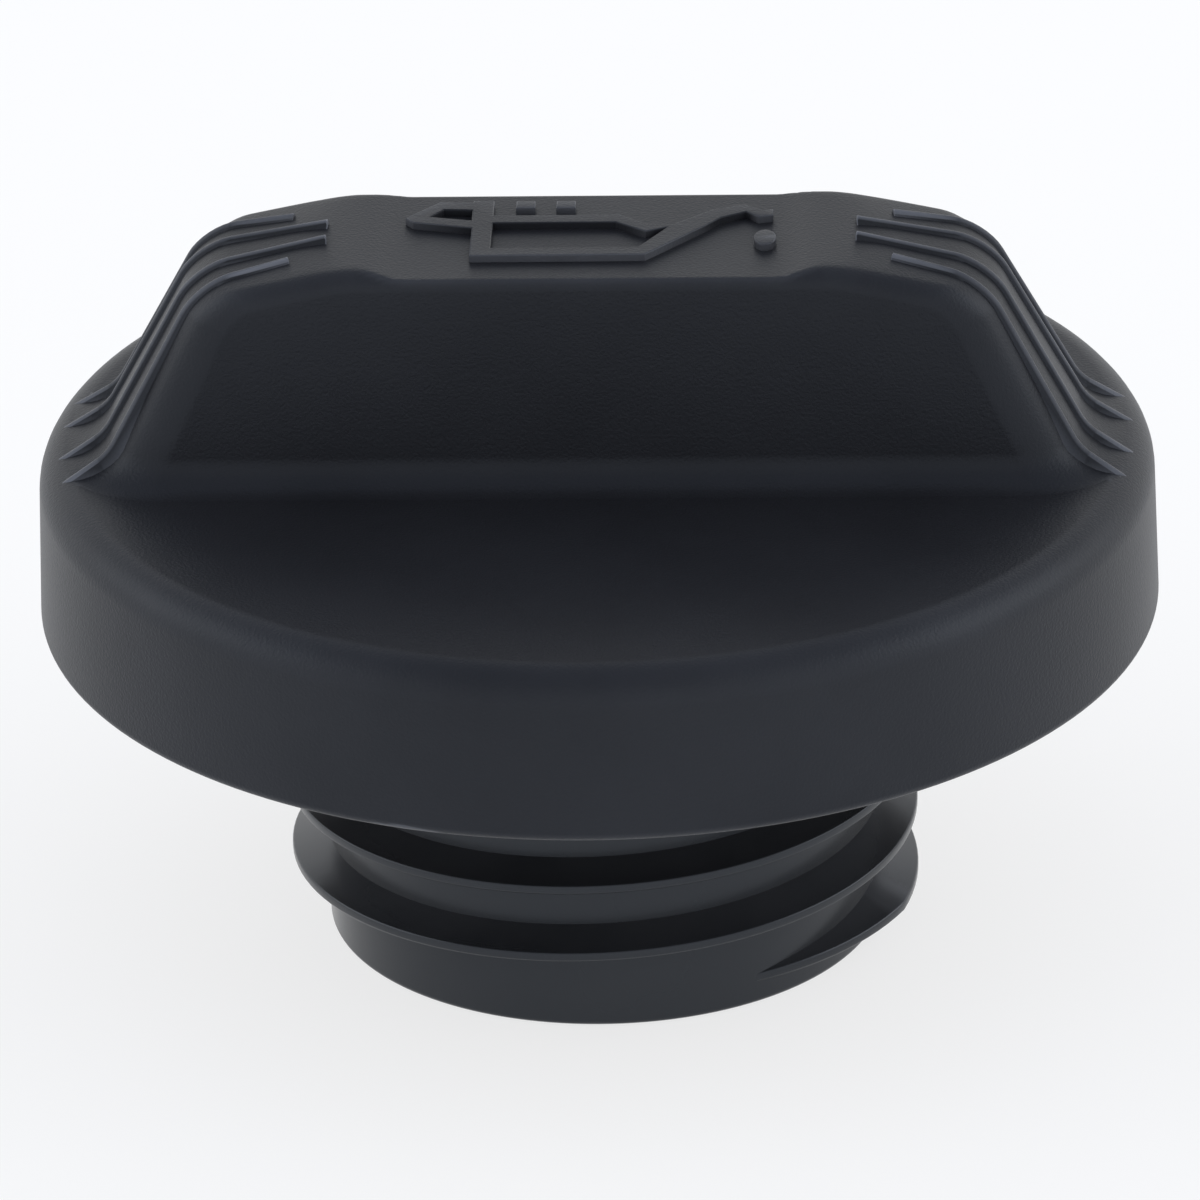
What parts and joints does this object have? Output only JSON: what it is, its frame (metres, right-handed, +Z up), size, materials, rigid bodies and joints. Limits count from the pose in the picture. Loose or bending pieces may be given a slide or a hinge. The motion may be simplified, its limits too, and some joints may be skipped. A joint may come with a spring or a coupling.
{
  "type": "oil filler cap",
  "caption": "Round screw-in engine oil filler cap with a raised grip bar, ribbed bar ends, a drafted skirt and a hollow threaded neck with a flat seal ring.",
  "frame": {"origin": "middle of the neck's bottom edge, on which the cap stands", "axes": "+Z up along the thread's axis, towards the grip bar; +X along the grip bar"},
  "size_m": [0.07, 0.07, 0.0469],
  "materials": {
    "outer_plastic": "near-black moulded plastic, matt with a very fine grain",
    "plug_plastic": "black moulded plastic, smooth and half glossy",
    "seal_rubber": "black oil-proof rubber, dull"
  },
  "bodies": {
    "root": {"outer_cap": "outer_plastic", "threaded_plug": "plug_plastic", "seal_ring": "seal_rubber"}
  },
  "joints": []
}
